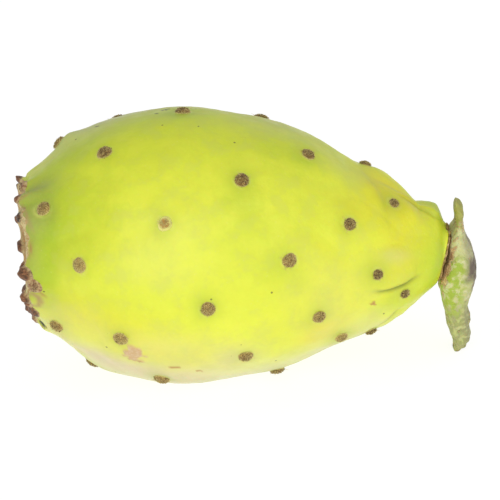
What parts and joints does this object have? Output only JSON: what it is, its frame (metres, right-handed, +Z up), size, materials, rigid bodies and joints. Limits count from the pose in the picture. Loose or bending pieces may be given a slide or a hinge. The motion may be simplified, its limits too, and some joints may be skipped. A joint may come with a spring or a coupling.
{
  "type": "prickly pear fruit",
  "caption": "Whole picked prickly pear lying on its side: a waxy yellow-green egg with felt cushions in a spiral, a ringed hollow crown, and a slice of pad on its base.",
  "frame": {"origin": "middle of the bottom face of the bounding box, on the surface that the fruit lies on", "axes": "+X along the fruit from its crown to its base and heel, +Z up, -Y the side that the picture shows"},
  "size_m": [0.0916, 0.0564, 0.056],
  "materials": {
    "fruit_skin": "waxy fruit skin, satin, yellow-green, greener and paler towards the edges, with dull brown felt cushions",
    "pad_flesh": "pale green pad skin, dull, mottled, browned and corky where it was cut and where it joins the fruit"
  },
  "bodies": {
    "root": {"fruit": "fruit_skin", "pad_heel": "pad_flesh"}
  },
  "joints": []
}
